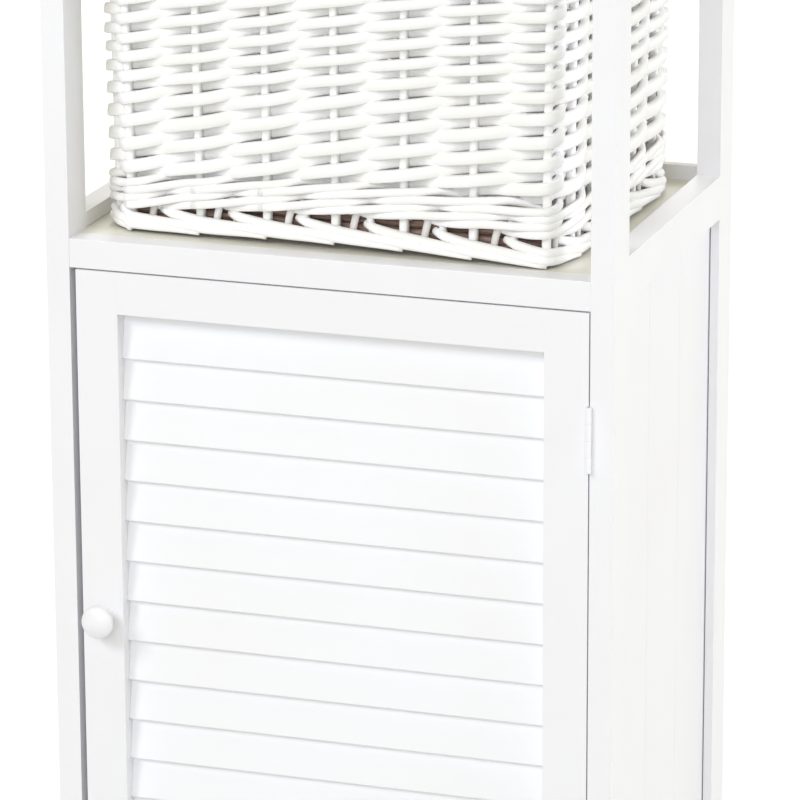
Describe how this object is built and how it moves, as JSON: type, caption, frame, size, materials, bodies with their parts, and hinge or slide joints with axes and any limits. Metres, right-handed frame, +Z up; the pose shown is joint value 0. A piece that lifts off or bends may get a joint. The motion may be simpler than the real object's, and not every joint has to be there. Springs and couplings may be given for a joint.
{
  "type": "bathroom storage tower",
  "caption": "Slim painted wooden storage tower with a louvred cupboard door below, an open bay holding a wicker basket, and an open shelf under the top board.",
  "frame": {"origin": "on the floor, under the centre of the whole tower's bounding box", "axes": "+Z up, +X to the right seen from the front, -Y out of the door's face, towards the user"},
  "size_m": [0.416, 0.3086, 1.05],
  "materials": {
    "painted_wood": "satin white paint over sanded wood, edges lightly eased",
    "slat_paint": "satin white paint on thin slats",
    "back_board": "painted hardboard",
    "bare_wood": "bare turned hardwood",
    "painted_hinge": "steel butt hinge painted with the frame",
    "steel": "zinc-plated fasteners",
    "white_plastic": "moulded white plastic",
    "magnet": "dark ground magnet",
    "painted_wicker": "white painted willow rods, bare where the paint did not reach"
  },
  "bodies": {
    "frame": {"front_left_post": "painted_wood", "front_right_post": "painted_wood", "rear_left_post": "painted_wood", "rear_right_post": "painted_wood", "bottom_front_rail": "painted_wood", "shelf_front_rail": "painted_wood", "upper_front_rail": "painted_wood", "top_front_rail": "painted_wood", "bottom_left_rail": "painted_wood", "shelf_left_rail": "painted_wood", "upper_left_rail": "painted_wood", "top_left_rail": "painted_wood", "bottom_right_rail": "painted_wood", "shelf_right_rail": "painted_wood", "upper_right_rail": "painted_wood", "top_right_rail": "painted_wood", "bottom_rear_rail": "painted_wood", "shelf_rear_rail": "painted_wood", "upper_rear_rail": "painted_wood", "top_rear_rail": "painted_wood", "cupboard_floor": "painted_wood", "basket_shelf": "painted_wood", "upper_shelf": "painted_wood", "top_board": "painted_wood", "inner_shelf": "painted_wood", "shelf_pegs": "bare_wood", "left_front_panel_board": "painted_wood", "left_middle_panel_board": "painted_wood", "left_rear_panel_board": "painted_wood", "right_front_panel_board": "painted_wood", "right_middle_panel_board": "painted_wood", "right_rear_panel_board": "painted_wood", "back_panel": "back_board", "back_panel_pins": "steel", "frame_dowels": "bare_wood", "foot_glides": "white_plastic", "upper_hinge_frame_leaf": "painted_hinge", "upper_hinge_pin": "steel", "lower_hinge_frame_leaf": "painted_hinge", "lower_hinge_pin": "steel", "hinge_frame_screws": "steel", "catch_body": "white_plastic", "catch_magnet": "magnet", "catch_screws": "steel"},
    "door": {"door_knob_stile": "painted_wood", "door_hinge_stile": "painted_wood", "door_top_rail": "painted_wood", "door_bottom_rail": "painted_wood", "louvre_slats": "slat_paint", "upper_hinge_door_leaf": "painted_hinge", "lower_hinge_door_leaf": "painted_hinge", "hinge_door_screws": "steel", "knob": "painted_wood", "knob_screw": "steel", "strike_plate": "steel", "strike_screws": "steel"},
    "basket": {"basket_walls": "painted_wicker", "basket_base": "painted_wicker", "basket_foot_border": "painted_wicker", "basket_top_border": "painted_wicker"}
  },
  "joints": [
    {"name": "door_hinge", "type": "hinge", "parent": "frame", "child": "door", "pos_m": [0.18285, -0.1384, 0.2952], "axis": [0, 0, 1], "range_deg": [0, 180]},
    {"name": "basket_slide", "type": "slide", "parent": "frame", "child": "basket", "axis": [0, -1, 0], "range_m": [0, 0.28]}
  ]
}
